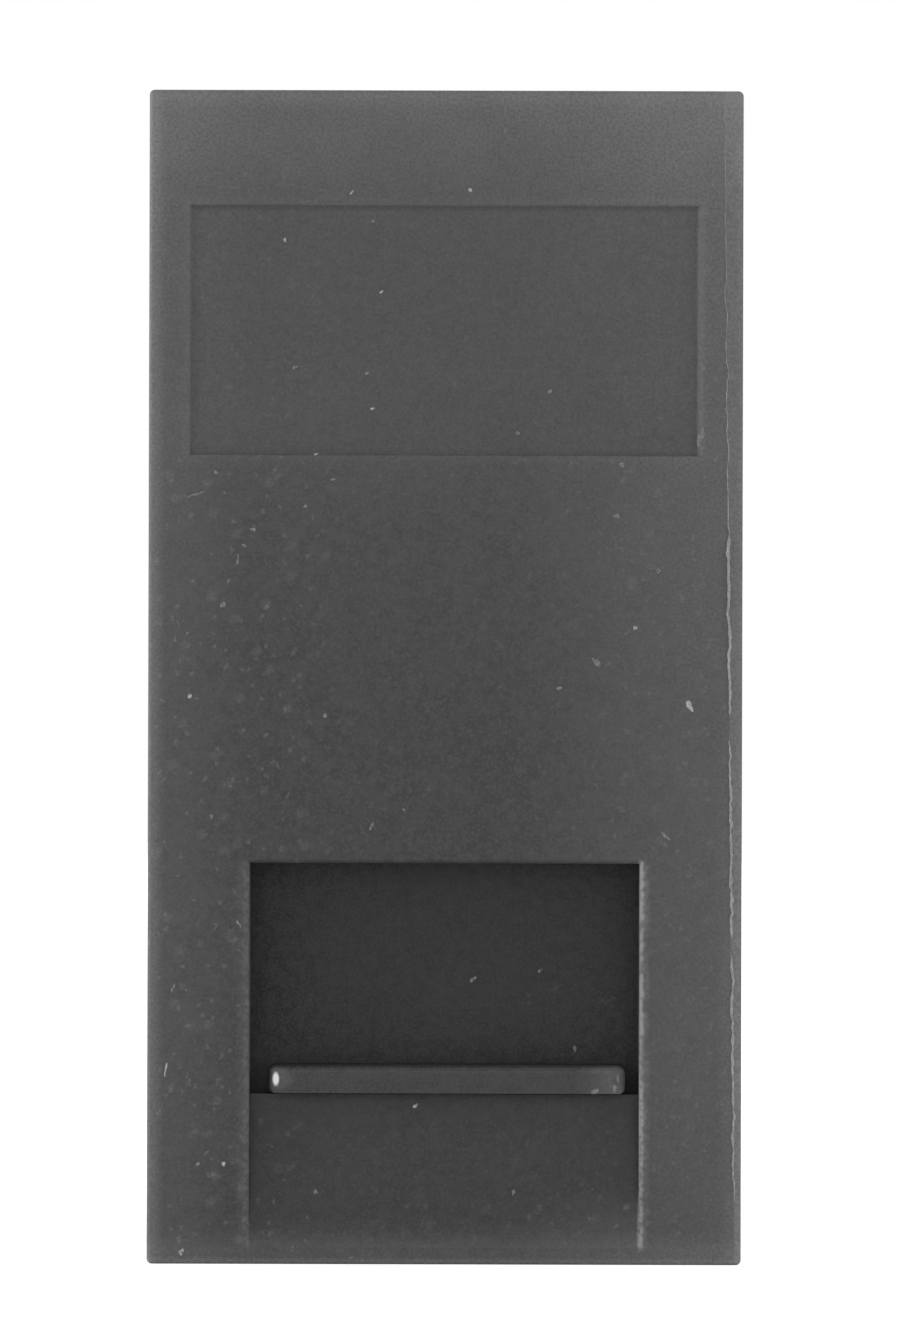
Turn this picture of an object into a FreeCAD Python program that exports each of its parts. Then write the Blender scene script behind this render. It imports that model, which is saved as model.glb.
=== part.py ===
import FreeCAD, Part
import math
import os

# Telephone socket module for a modular outlet frame, in millimetres.
# +Z is up, +X is right and the face looks along -Y. While a piece is made, y is its depth behind
# the face. save_piece() then moves it forward, so that the origin lies in the plane of the frame
# seat, at the middle of the face.

# Face and housing
face_width = 25.0
face_height = 49.4
face_depth = 6.0              # from the face back to the frame seat
face_corner_radius = 0.22     # the four corners of the outline
face_edge_radius = 0.18       # the rounded front edge
front_wall = 2.2
seat_side = 0.8               # width of the frame seat left and right of the skirt
seat_end = 2.2                # its width above and below the skirt
skirt_wall = 1.3
skirt_corner_radius = 0.6

# Right front edge, pared down by hand, most at the top
pared_width_top = 0.82
pared_width_bottom = 0.27
pared_angle = 18.0            # degrees between the cut and the face

# Label recess
label_width = 21.44
label_height = 10.56
label_drop = 4.83             # from the top of the face
label_aside = -0.06           # its middle lies a little to the left
label_depth = 0.15
label_lean = 0.1              # how far its walls lean in

# Socket window and the ramp below it
window_width = 16.4
window_height = 9.78
window_edge_radius = 0.2
ramp_height = 6.39            # from the foot of the ramp to the window
ramp_margin = 0.7             # flat strip below the foot of the ramp
ramp_depth = 1.2              # its upper edge, behind the face

# Shutter
shutter_thickness = 1.3
shutter_side_lap = 1.0        # how far it reaches past the window at each side
shutter_top_lap = 1.28        # and above it
shutter_foot_lap = 0.25       # and below its rib, behind the edge of the sill
slide_gap = 0.15              # clearance round the sliding shutter
rest_gap = 0.08               # between the shutter and the sill it rests above
rib_width = 15.0
rib_height = 1.15
rib_setback = 0.4             # from the face to the front of the rib
rib_aside = 0.13              # its middle lies a little to the right
rib_corner_radius = 0.28      # its four corners, seen from the front
rib_edge_radius = 0.26        # its front edge at the top and the ends; the lower edge is crisp
lug_height = 1.6              # the lug carries the lower end of the spring

# Shutter spring
spring_diameter = 2.5         # over the coils
spring_wire = 0.3
spring_length = 14.5          # with the shutter closed
spring_turns = 14
spring_side_gap = 0.3         # beside the coils in their groove
spring_peg_gap = 0.15         # between a coil and the peg inside it
spring_peg_length = 1.6
spring_stop = 1.5             # thickness of the stop above the spring

# Jack body
flange_thickness = 2.6
flange_gap = 0.15             # fit of the flange in the housing
plug_width = 12.3
plug_height = 7.7
plug_depth = 9.8
plug_rise = 0.41              # floor of the plug cavity above the window's lower edge
jack_wall = 1.5
jack_roof = 2.6
jack_rear_wall = 1.0
latch_height = 3.0            # pocket in the right wall for the plug's latch
latch_depth = 0.9
latch_setback = 1.6
latch_length = 5.0
post_size = 2.0               # posts that hold the board off the jack body
post_length = 2.4
jack_peg_diameter = 1.3

# Contacts and their carrier
contact_count = 6
contact_pitch = 1.27
contact_width = 0.5
contact_thickness = 0.4
contact_gap = 0.15            # beside a contact in its slot
contact_rise = 1.2            # from the roof of the plug cavity to the straight run
contact_setback = 3.5         # from the front of the jack body to the hairpin
contact_lead = 0.7            # how far the hairpin leans forward
contact_drop = 1.1            # height of the hairpin
contact_dip = 2.5             # how far the free end hangs into the plug cavity
contact_tip_gap = 1.2         # from the lowest point to the back of the cavity
contact_tip_length = 0.7
contact_tip_lift = 0.5
contact_bend_radius = 0.45    # at the middle of the strip
contact_tail = 0.8            # past the board
carrier_height = 2.8
carrier_side = 1.5            # beyond the outer contacts
carrier_gap = 0.2             # to the board

# Circuit board
board_thickness = 1.2
board_gap = 0.3               # to the housing and to the bosses
board_hole_gap = 0.06         # round pegs and tails

# Terminal blocks and terminals
block_inset = 0.5             # from the side of the board to a block
block_rise = 6.9              # from the top of the jack body to the middle of the blocks
block_width = 5.7
block_height = 15.6
block_depth = 9.3             # behind the board
block_edge = 0.6              # bevel along the outer edges
block_peg_diameter = 1.2
block_peg_inset = 1.0         # from the end of the block to the middle of the peg
terminals_per_block = 3
terminal_pitch = 5.0
terminal_width = 3.2
terminal_thickness = 0.5
terminal_setback = 0.7        # tips below the top of the block
terminal_slit = 0.34
terminal_mouth = 1.6          # width of the fork between its tips
terminal_mouth_depth = 1.0
terminal_slit_floor = 0.3     # solid metal above the floor of the wire slot
terminal_tail_width = 0.7
terminal_tail = 0.8           # in front of the board
terminal_gap = 0.1            # round the blade in its pocket
wire_slot_width = 1.2
wire_slot_depth = 6.0
wire_mouth_width = 2.4
wire_mouth_depth = 0.8

# Rear cover and its screws
cover_rim = 1.5
cover_plate = 1.5
cover_edge_radius = 0.5
cover_gap = 0.2               # round the terminal blocks
boss_inset = 2.8              # from the inner walls to the middle of a boss
boss_diameter = 4.4
screw_diameter = 2.0
screw_fit = 0.02              # between the thread and its bore
screw_length = 9.0            # under the head
screw_end_gap = 1.0           # bore left below the tip
screw_clearance = 0.2         # round the shank in the cover
screw_head_diameter = 3.8
screw_head_height = 1.4
screw_head_sink = 0.8
cross_width = 0.55
cross_length = 2.2
cross_depth = 0.8
clamp_diameter = 1.6          # pads of the cover that press on the board
clamp_inset = 1.1             # from the corner of the board to the middle of the pad
hook_inset = 2.4              # from the side walls to the middle of a hook
hook_width = 2.6
hook_thickness = 1.0
hook_gap = 0.1
hook_reach = 4.5              # in front of the rim
hook_nib = 0.9
hook_nib_length = 1.4
tie_width = 8.0               # bridge for a cable tie
tie_height = 5.0
tie_depth = 3.6
tie_slot_height = 3.0
tie_slot_depth = 1.6
tie_floor = 0.7
tie_saddle_radius = 4.5
tie_saddle_depth = 0.6
tie_drop = 7.4                # below the terminal blocks

# Catches that hold the module in its frame
frame_thickness = 2.0
frame_gap = 0.2
catch_height = 1.0
catch_land = 0.4
catch_length = 3.4
catch_side = 0.5              # bare edge of the tongue beside its catch
tongue_width = 8.0
tongue_slot = 0.8
tongue_root = 0.8             # behind the frame seat
tongue_length = 7.2

# Cutting tools reach this far past the surfaces that they cut
overcut = 1.0
# Edges this close to one depth lie at it
same_depth = 1e-4

# Heights
face_top = face_height / 2
ramp_foot = ramp_margin - face_top
window_bottom = ramp_foot + ramp_height
window_top = window_bottom + window_height
shutter_top = window_top + shutter_top_lap
rib_bottom = window_bottom + rest_gap
sill_top = window_bottom - shutter_foot_lap
shutter_bottom = sill_top + rest_gap
lug_bottom = shutter_top - lug_height
spring_top = shutter_top + spring_length
flange_top = spring_top + spring_stop
plug_bottom = window_bottom + plug_rise
plug_top = plug_bottom + plug_height
jack_bottom = plug_bottom - jack_wall
jack_top = plug_top + jack_roof
contact_height = plug_top + contact_rise

# Widths
skirt_width = face_width - 2 * seat_side
skirt_height = face_height - 2 * seat_end
cavity_width = skirt_width - 2 * skirt_wall
cavity_height = skirt_height - 2 * skirt_wall
shutter_width = window_width + 2 * shutter_side_lap
groove_width = spring_diameter + 2 * spring_side_gap
lug_width = groove_width - 2 * slide_gap
spring_radius = (spring_diameter - spring_wire) / 2
spring_climb = (spring_length - spring_wire) / spring_turns
spring_peg_diameter = spring_diameter - 2 * spring_wire - 2 * spring_peg_gap
jack_width = plug_width + 2 * jack_wall
contact_span = (contact_count - 1) * contact_pitch

# Depths behind the face
shutter_front = front_wall + slide_gap
shutter_back = shutter_front + shutter_thickness
jack_front = shutter_back + slide_gap
spring_axis = shutter_front + spring_diameter / 2
spring_back = spring_axis + math.hypot(spring_radius, spring_climb / 2) + spring_wire / 2
groove_floor = spring_back + slide_gap
plug_end = jack_front + plug_depth
jack_back = plug_end + jack_rear_wall
hairpin = jack_front + contact_setback
board_front = jack_back + post_length
board_back = board_front + board_thickness
housing_back = board_back + board_gap
cover_inside = housing_back + cover_rim
cover_back = cover_inside + cover_plate
block_back = board_back + block_depth
wire_slot_floor = block_back - wire_slot_depth
screw_seat = cover_back - screw_head_sink
screw_tip = screw_seat - screw_length
hook_front = housing_back - hook_reach
catch_front = face_depth + frame_thickness + frame_gap
tongue_front = face_depth + tongue_root
tongue_end = tongue_front + tongue_length

# Places
boss_x = cavity_width / 2 - boss_inset
boss_z = cavity_height / 2 - boss_inset
board_width = cavity_width - 2 * board_gap
board_top = boss_z - boss_diameter / 2 - board_gap
board_bottom = hook_thickness + hook_gap + board_gap - cavity_height / 2
post_x = jack_width / 2 - post_size / 2
post_heights = [jack_bottom + post_size / 2, jack_top - post_size / 2]
contact_places = [i * contact_pitch - contact_span / 2 for i in range(contact_count)]
block_x = board_width / 2 - block_inset - block_width / 2
block_z = jack_top + block_rise
block_peg_reach = block_height / 2 - block_peg_inset
block_peg_heights = [block_z - block_peg_reach, block_z + block_peg_reach]
terminal_places = [block_z + (i - (terminals_per_block - 1) / 2) * terminal_pitch
                   for i in range(terminals_per_block)]
clamp_x = board_width / 2 - clamp_inset
clamp_heights = [board_bottom + clamp_inset, board_top - clamp_inset]
tie_z = block_z - block_height / 2 - tie_drop
hook_x = cavity_width / 2 - hook_inset
sides = (-1, 1)

shutter_travel = window_top - slide_gap - rib_height - rib_bottom


def vec(x, y, z):
    return FreeCAD.Vector(x, y, z)


def block(x0, x1, y0, y1, z0, z1):
    """Box between two limits on each axis."""
    return Part.makeBox(x1 - x0, y1 - y0, z1 - z0, vec(x0, y0, z0))


def pad(x, z, width, height, y0, y1):
    """Box with its middle at (x, z), from depth y0 to depth y1."""
    return block(x - width / 2, x + width / 2, y0, y1, z - height / 2, z + height / 2)


def rod(x, z, diameter, y0, y1):
    """Cylinder along the depth."""
    return Part.makeCylinder(diameter / 2, y1 - y0, vec(x, y0, z), vec(0, 1, 0))


def upright(y, diameter, z0, z1):
    """Cylinder along the height, in the middle plane."""
    return Part.makeCylinder(diameter / 2, z1 - z0, vec(0, y, z0), vec(0, 0, 1))


def side_prism(points, x0, x1):
    """Outline of (depth, height) points, extruded from x0 to x1."""
    corners = [vec(x0, y, z) for y, z in points]
    face = Part.Face(Part.makePolygon(corners + corners[:1]))
    return face.extrude(vec(x1 - x0, 0, 0))


def rounded(shape, radius, wanted):
    """The shape with the wanted edges rounded."""
    edges = [edge for edge in shape.Edges if wanted(edge)]
    return shape.makeFillet(radius, edges)


def runs_back(edge):
    """True for a straight edge along the depth."""
    box = edge.BoundBox
    return box.YLength > max(box.XLength, box.ZLength)


def lies_at(depth):
    """Test for edges that lie wholly at one depth."""
    def test(edge):
        box = edge.BoundBox
        return max(abs(box.YMin - depth), abs(box.YMax - depth)) < same_depth
    return test


def save_piece(name, shape):
    """Write one piece in the module's own frame."""
    shape.translate(vec(0, -face_depth, 0))
    shape.exportStep(os.path.join("parts", name + ".step"))


def face_block():
    """Front block with rounded corners, rounded front edge and the pared right edge."""
    solid = pad(0, 0, face_width, face_height, 0, face_depth)
    solid = rounded(solid, face_corner_radius, runs_back)
    solid = rounded(solid, face_edge_radius, lies_at(0))
    reach = pared_width_top + 2 * overcut
    inner = vec(face_width / 2 - pared_width_top, 0, face_top)
    outer = inner + vec(reach, reach * math.tan(math.radians(pared_angle)), 0)
    front = inner + vec(reach, -overcut, 0)
    section = Part.Face(Part.makePolygon([inner, outer, front, inner]))
    taper = pared_width_top - pared_width_bottom
    return solid.cut(section.extrude(vec(taper, 0, -face_height)))


def window_tool():
    """Window and ramp in one tool, with rounded front edges at the sides and the top."""
    radius = window_edge_radius
    half = window_width / 2
    back = front_wall + overcut
    bulge = radius * (1 - math.sqrt(0.5))
    slope = (window_bottom - ramp_foot) / ramp_depth
    crest = window_top + radius
    start = vec(0, 0, crest)
    lip = vec(0, radius, window_top)
    down = [lip, vec(0, back, window_top), vec(0, back, window_bottom), vec(0, ramp_depth, window_bottom),
            vec(0, -overcut, ramp_foot - overcut * slope), vec(0, -overcut, crest), start]
    edges = [Part.makeLine(a, b) for a, b in zip(down, down[1:])]
    edges.append(Part.Arc(start, vec(0, bulge, window_top + bulge), lip).toShape())
    side_view = Part.Face(Part.Wire(Part.__sortEdges__(edges)))
    side_view.translate(vec(-half - overcut, 0, 0))
    side_view = side_view.extrude(vec(2 * (half + overcut), 0, 0))
    low = ramp_foot - overcut * slope - overcut
    edges = []
    for side in sides:
        start = vec(side * (half + radius), 0, low)
        lip = vec(side * half, radius, low)
        edges.append(Part.makeLine(vec(side * (half + radius), -overcut, low), start))
        edges.append(Part.Arc(start, vec(side * (half + bulge), bulge, low), lip).toShape())
        edges.append(Part.makeLine(lip, vec(side * half, back + overcut, low)))
    for x, y in ((half + radius, -overcut), (half, back + overcut)):
        edges.append(Part.makeLine(vec(-x, y, low), vec(x, y, low)))
    top_view = Part.Face(Part.Wire(Part.__sortEdges__(edges)))
    top_view = top_view.extrude(vec(0, 0, crest + overcut - low))
    return side_view.common(top_view)


def label_tool():
    """Shallow recess for a label, with walls that lean in, cut from the front."""
    slope = label_lean / label_depth
    middle = face_top - label_drop - label_height / 2
    upright = []
    level = []
    for y, side in ((-overcut, 1), (label_depth, 1), (label_depth, -1), (-overcut, -1)):
        upright.append((y, middle + side * (label_height / 2 - y * slope)))
        level.append(vec(label_aside + side * (label_width / 2 - y * slope), y, middle - label_height))
    reach = label_width
    tall = side_prism(upright, label_aside - reach, label_aside + reach)
    wide = Part.Face(Part.makePolygon(level + level[:1])).extrude(vec(0, 0, 2 * label_height))
    return tall.common(wide)


def frame_catch(side):
    """Spring tongue in the top or bottom wall: the slot round it and the catch on it."""
    wall_outside = side * skirt_height / 2
    wall_inside = side * cavity_height / 2
    low = min(wall_outside + side * overcut, wall_inside - side * overcut)
    high = max(wall_outside + side * overcut, wall_inside - side * overcut)
    half = tongue_width / 2
    slot = block(-half - tongue_slot, half + tongue_slot, tongue_front, tongue_end + tongue_slot, low, high)
    slot = slot.cut(block(-half, half, tongue_front - overcut, tongue_end, low, high))
    peak = wall_outside + side * catch_height
    root = wall_outside - side * skirt_wall / 2
    outline = [(catch_front, root), (catch_front, peak), (catch_front + catch_land, peak),
               (catch_front + catch_length, wall_outside), (catch_front + catch_length, root)]
    catch = side_prism(outline, catch_side - half, half - catch_side)
    return slot, catch


def front_housing():
    """Face, skirt, shutter guides, screw bosses and frame catches, moulded as one."""
    skirt = pad(0, 0, skirt_width, skirt_height, front_wall, housing_back)
    skirt = rounded(skirt, skirt_corner_radius, runs_back)
    solid = face_block().fuse(skirt)
    solid = solid.cut(pad(0, 0, cavity_width, cavity_height, front_wall, housing_back + overcut))
    rail_inside = shutter_width / 2 + slide_gap
    for side in sides:
        edges = sorted((side * rail_inside, side * cavity_width / 2))
        solid = solid.fuse(block(*edges, front_wall, jack_front, sill_top, flange_top))
        boss = rod(side * boss_x, boss_z, boss_diameter, front_wall, housing_back)
        solid = solid.fuse(boss)
        bore = screw_diameter + 2 * screw_fit
        solid = solid.cut(rod(side * boss_x, boss_z, bore, screw_tip - screw_end_gap, housing_back + overcut))
        slot, catch = frame_catch(side)
        solid = solid.cut(slot).fuse(catch)
        solid = solid.cut(hook_window(side))
    sill = block(-cavity_width / 2, cavity_width / 2, front_wall, jack_front,
                 -cavity_height / 2, sill_top)
    solid = solid.fuse(sill).cut(window_tool())
    solid = solid.cut(label_tool())
    return solid.removeSplitter()


def hook_window(side):
    """Hole in the bottom wall that a hook of the rear cover snaps into."""
    half = hook_width / 2 + hook_gap
    x = side * hook_x
    return block(x - half, x + half, hook_front - hook_gap, hook_front + hook_nib_length + hook_gap,
                 -skirt_height / 2 - overcut, -cavity_height / 2 + overcut)


def shutter():
    """Sliding plate with the rib that lifts it and the lug under the spring."""
    half = shutter_width / 2
    plate = block(-half, half, shutter_front, shutter_back, shutter_bottom, shutter_top)
    rib_middle = rib_bottom + rib_height / 2
    rib = pad(rib_aside, rib_middle, rib_width, rib_height, rib_setback, shutter_back)
    tall = pad(rib_aside, rib_middle - rib_height / 2, rib_width, 2 * rib_height, rib_setback, shutter_back)
    tall = rounded(rounded(tall, rib_corner_radius, runs_back), rib_edge_radius, lies_at(rib_setback))
    rib = rounded(rib, rib_corner_radius, runs_back).common(tall)
    lug = block(-lug_width / 2, lug_width / 2, shutter_front, spring_back, lug_bottom, shutter_top)
    peg = upright(spring_axis, spring_peg_diameter, shutter_top, shutter_top + spring_peg_length)
    return plate.fuse([rib, lug, peg]).removeSplitter()


def half_coil(start, end, bulge):
    """Half a turn of spring wire that bulges to the back or, with -1, to the front."""
    section = Part.Face(Part.Wire(Part.makeCircle(spring_wire / 2, start, vec(0, 1, 0))))
    axis = (end - start).cross(vec(0, -bulge, 0))
    return section.revolve((start + end) / 2, axis, 180)


def shutter_spring():
    """Compression spring: level half turns at the front, climbing half turns at the back."""
    climb = vec(0, 0, spring_climb)
    right = vec(spring_radius, spring_axis, shutter_top + spring_wire / 2)
    left = vec(-spring_radius, spring_axis, shutter_top + spring_wire / 2)
    coil = half_coil(right, left, -1)
    for turn in range(spring_turns):
        coil = coil.fuse(half_coil(left, right + climb, 1))
        left = left + climb
        right = right + climb
        coil = coil.fuse(half_coil(right, left, -1))
    return coil


def contact_slot(x):
    """Slot in the roof of the plug cavity for one contact."""
    half = contact_width / 2 + contact_gap
    front = hairpin - contact_lead - contact_thickness / 2 - contact_gap
    top = contact_height + contact_thickness / 2 + contact_gap
    return block(x - half, x + half, front, jack_back + overcut, plug_top - overcut, top)


def jack_body():
    """Plug cavity, flange behind the shutter, spring groove and board posts, moulded as one."""
    flange_half = cavity_width / 2 - flange_gap
    flange_back = jack_front + flange_thickness
    flange = block(-flange_half, flange_half, jack_front, flange_back,
                   flange_gap - cavity_height / 2, flange_top)
    body = block(-jack_width / 2, jack_width / 2, jack_front, jack_back, jack_bottom, jack_top)
    stop = block(-groove_width / 2, groove_width / 2, shutter_front, flange_back, spring_top, flange_top)
    solid = flange.fuse([body, stop])
    groove = block(-groove_width / 2, groove_width / 2, jack_front - overcut, groove_floor,
                   lug_bottom - slide_gap, spring_top)
    solid = solid.cut(groove)
    peg = upright(spring_axis, spring_peg_diameter,
                  spring_top - spring_peg_length, spring_top + spring_stop / 2)
    solid = solid.fuse(peg)
    cavity = block(-plug_width / 2, plug_width / 2, jack_front - overcut, plug_end, plug_bottom, plug_top)
    latch_front = jack_front + latch_setback
    latch_middle = (plug_bottom + plug_top) / 2
    latch = block(0, plug_width / 2 + latch_depth, latch_front, latch_front + latch_length,
                  latch_middle - latch_height / 2, latch_middle + latch_height / 2)
    solid = solid.cut([cavity, latch] + [contact_slot(x) for x in contact_places])
    for side in sides:
        for z in post_heights:
            solid = solid.fuse(pad(side * post_x, z, post_size, post_size, jack_back, board_front))
        solid = solid.fuse(rod(side * post_x, post_heights[0], jack_peg_diameter, board_front, board_back))
    return solid.removeSplitter()


def contact_carrier():
    """Bar behind the jack body that holds the six contacts."""
    width = contact_span + contact_width + 2 * carrier_side
    solid = pad(0, contact_height, width, carrier_height, jack_back, board_front - carrier_gap)
    for x in contact_places:
        solid = solid.cut(pad(x, contact_height, contact_width, contact_thickness,
                              jack_back - overcut, board_front + overcut))
    return solid


def beside(points, radius, offset):
    """Edges of a line that keeps one distance from a path of straight runs and arcs."""
    across = vec(1, 0, 0)
    edges = []
    runs = [(b - a).normalize() for a, b in zip(points, points[1:])]
    last = points[0] + across.cross(runs[0]) * offset
    for corner, into, out in zip(points[1:], runs, runs[1:]):
        turn = into.getAngle(out)
        reach = radius * math.tan(turn / 2)
        hand = math.copysign(1, into.cross(out).x)
        middle = corner - into * reach + across.cross(into) * hand * radius
        start = corner - into * reach + across.cross(into) * offset
        end = corner + out * reach + across.cross(out) * offset
        half_way = middle + (corner - middle).normalize() * (radius - hand * offset)
        edges.append(Part.makeLine(last, start))
        edges.append(Part.Arc(start, half_way, end).toShape())
        last = end
    edges.append(Part.makeLine(last, points[-1] + across.cross(runs[-1]) * offset))
    return edges


def contact(x):
    """One contact strip: tail, straight run, hairpin and sprung free end."""
    left = x - contact_width / 2
    low = vec(left, plug_end - contact_tip_gap, plug_top - contact_dip)
    path = [vec(left, board_back + contact_tail, contact_height),
            vec(left, hairpin, contact_height),
            vec(left, hairpin - contact_lead, contact_height - contact_drop),
            low,
            low + vec(0, contact_tip_length, contact_tip_lift)]
    upper = beside(path, contact_bend_radius, contact_thickness / 2)
    lower = beside(path, contact_bend_radius, -contact_thickness / 2)
    caps = [Part.makeLine(upper[0].Vertexes[0].Point, lower[0].Vertexes[0].Point),
            Part.makeLine(upper[-1].Vertexes[-1].Point, lower[-1].Vertexes[-1].Point)]
    outline = Part.Wire(Part.__sortEdges__(upper + lower + caps))
    return Part.Face(outline).extrude(vec(contact_width, 0, 0))


def circuit_board():
    """Board between the contacts and the terminals."""
    solid = block(-board_width / 2, board_width / 2, board_front, board_back, board_bottom, board_top)
    contact_hole = math.hypot(contact_width, contact_thickness)
    tail_hole = math.hypot(terminal_tail_width, terminal_thickness)
    holes = [(x, contact_height, contact_hole) for x in contact_places]
    for side in sides:
        holes.append((side * post_x, post_heights[0], jack_peg_diameter))
        holes += [(side * block_x, z, block_peg_diameter) for z in block_peg_heights]
        holes += [(side * block_x, z, tail_hole) for z in terminal_places]
    for x, z, diameter in holes:
        size = diameter + 2 * board_hole_gap
        solid = solid.cut(rod(x, z, size, board_front - overcut, board_back + overcut))
    return solid


def idc_block(side):
    """Terminal block with a wire slot and a blade pocket for each terminal."""
    x = side * block_x
    half = block_width / 2
    solid = pad(x, block_z, block_width, block_height, board_back, block_back)
    at_back = lies_at(block_back)
    long_edges = [edge for edge in solid.Edges if at_back(edge) and edge.BoundBox.XLength < block_width / 2]
    solid = solid.makeChamfer(block_edge, long_edges)
    for z in terminal_places:
        slot = pad(x, z, 2 * block_width, wire_slot_width, wire_slot_floor, block_back + overcut)
        mouth = [(block_back - wire_mouth_depth, z), (block_back, z + wire_mouth_width / 2),
                 (block_back + overcut, z + wire_mouth_width / 2),
                 (block_back + overcut, z - wire_mouth_width / 2), (block_back, z - wire_mouth_width / 2)]
        pocket = pad(x, z, terminal_thickness + 2 * terminal_gap, terminal_width + 2 * terminal_gap,
                     board_back - overcut, block_back + overcut)
        solid = solid.cut([slot, side_prism(mouth, x - half - overcut, x + half + overcut), pocket])
    pegs = [rod(x, z, block_peg_diameter, board_front, board_back) for z in block_peg_heights]
    return solid.fuse(pegs).removeSplitter()


def idc_terminal(side, z):
    """Forked blade that cuts through a wire's insulation, with a tail through the board."""
    x = side * block_x
    tip = block_back - terminal_setback
    half_outline = [(board_front - terminal_tail, terminal_tail_width / 2),
                    (board_back, terminal_tail_width / 2),
                    (board_back, terminal_width / 2),
                    (tip, terminal_width / 2),
                    (tip, terminal_mouth / 2),
                    (tip - terminal_mouth_depth, terminal_slit / 2),
                    (wire_slot_floor + terminal_slit_floor, terminal_slit / 2)]
    upper = [(y, z + h) for y, h in half_outline]
    lower = [(y, z - h) for y, h in reversed(half_outline)]
    return side_prism(upper + lower, x - terminal_thickness / 2, x + terminal_thickness / 2)


def cover_hook(side):
    """Hook on the lower edge of the rear cover."""
    x = side * hook_x
    outside = hook_gap - cavity_height / 2
    inside = outside + hook_thickness
    nib = outside - hook_nib
    back = hook_front + hook_nib_length
    outline = [(cover_inside, inside), (hook_front, inside), (hook_front, outside),
               (hook_front + hook_nib_length / 2, nib), (back, nib), (back, outside), (cover_inside, outside)]
    return side_prism(outline, x - hook_width / 2, x + hook_width / 2)


def tie_bridge():
    """Bridge that a cable tie passes under, with a saddle for the cable."""
    top = cover_back + tie_depth
    solid = pad(0, tie_z, tie_width, tie_height, cover_inside, top)
    floor = cover_back + tie_floor
    solid = solid.cut(pad(0, tie_z, 2 * tie_width, tie_slot_height, floor, floor + tie_slot_depth))
    saddle_axis = top - tie_saddle_depth + tie_saddle_radius
    low = tie_z - tie_height
    return solid.cut(upright(saddle_axis, 2 * tie_saddle_radius, low, low + 2 * tie_height))


def rear_cover():
    """Back of the module: rim, plate, board clamps, hooks and tie bridge, moulded as one."""
    solid = pad(0, 0, skirt_width, skirt_height, housing_back, cover_back)
    solid = rounded(solid, skirt_corner_radius, runs_back)
    solid = rounded(solid, cover_edge_radius, lies_at(cover_back))
    solid = solid.cut(pad(0, 0, cavity_width, cavity_height, housing_back - overcut, cover_inside))
    for side in sides:
        solid = solid.fuse(rod(side * boss_x, boss_z, boss_diameter, housing_back, cover_inside))
        shank = screw_diameter + 2 * screw_clearance
        head = screw_head_diameter + 2 * screw_clearance
        solid = solid.cut(rod(side * boss_x, boss_z, shank, housing_back - overcut, cover_back + overcut))
        solid = solid.cut(rod(side * boss_x, boss_z, head, screw_seat, cover_back + overcut))
        solid = solid.cut(pad(side * block_x, block_z, block_width + 2 * cover_gap,
                              block_height + 2 * cover_gap, housing_back, cover_back + overcut))
        for z in clamp_heights:
            solid = solid.fuse(rod(side * clamp_x, z, clamp_diameter, board_back, cover_inside))
        solid = solid.fuse(cover_hook(side))
    return solid.fuse(tie_bridge()).removeSplitter()


def cover_screw(side):
    """Self-tapping screw with a pan head and a cross recess."""
    x = side * boss_x
    head_top = screw_seat + screw_head_height
    head = rod(x, boss_z, screw_head_diameter, screw_seat, head_top)
    head = rounded(head, screw_head_height / 2, lies_at(head_top))
    shank = rod(x, boss_z, screw_diameter, screw_tip + screw_diameter / 2, screw_seat)
    point = Part.makeCone(0, screw_diameter / 2, screw_diameter / 2, vec(x, screw_tip, boss_z), vec(0, 1, 0))
    solid = head.fuse([shank, point])
    for width, height in ((cross_width, cross_length), (cross_length, cross_width)):
        solid = solid.cut(pad(x, boss_z, width, height, head_top - cross_depth, head_top + overcut))
    return solid.removeSplitter()


os.makedirs("parts", exist_ok=True)
save_piece("front_housing", front_housing())
save_piece("shutter", shutter())
save_piece("shutter_spring", shutter_spring())
save_piece("jack_body", jack_body())
save_piece("contact_carrier", contact_carrier())
for number, x in enumerate(contact_places, 1):
    save_piece(f"contact_{number}", contact(x))
save_piece("circuit_board", circuit_board())
for side, name in ((-1, "left"), (1, "right")):
    save_piece("idc_block_" + name, idc_block(side))
places = [(side, z) for side in sides for z in reversed(terminal_places)]
for number, (side, z) in enumerate(places, 1):
    save_piece(f"idc_terminal_{number}", idc_terminal(side, z))
save_piece("rear_cover", rear_cover())
save_piece("cover_screws", Part.makeCompound([cover_screw(side) for side in sides]))

print(f"size {face_width:.2f} x {block_back:.2f} x {face_height:.2f} mm")
print(f"shutter travel {shutter_travel:.2f} mm, closed spring {spring_length:.2f} mm")
print(f"spring top z {spring_top:.2f}, plug cavity z {plug_bottom:.2f} to {plug_top:.2f}")
print(f"plug cavity y {jack_front - face_depth:.2f} to {plug_end - face_depth:.2f}")
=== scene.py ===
# %% [markdown]
# # A telephone socket module, dressed in Blender
#
# The module is a small moulded block that clips into an outlet frame. Its solids come packed from
# the drawing office, each piece in its own object and in its true place. This lesson gives every
# piece its finish, adds the small things that were too fine to draw, such as dust and a ragged
# edge, and sets up the light and the camera of the photograph.

# %% Load the frame
import math
import random

import bmesh
import bpy
from mathutils import Matrix, Vector, noise
from mathutils.bvhtree import BVHTree


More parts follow.
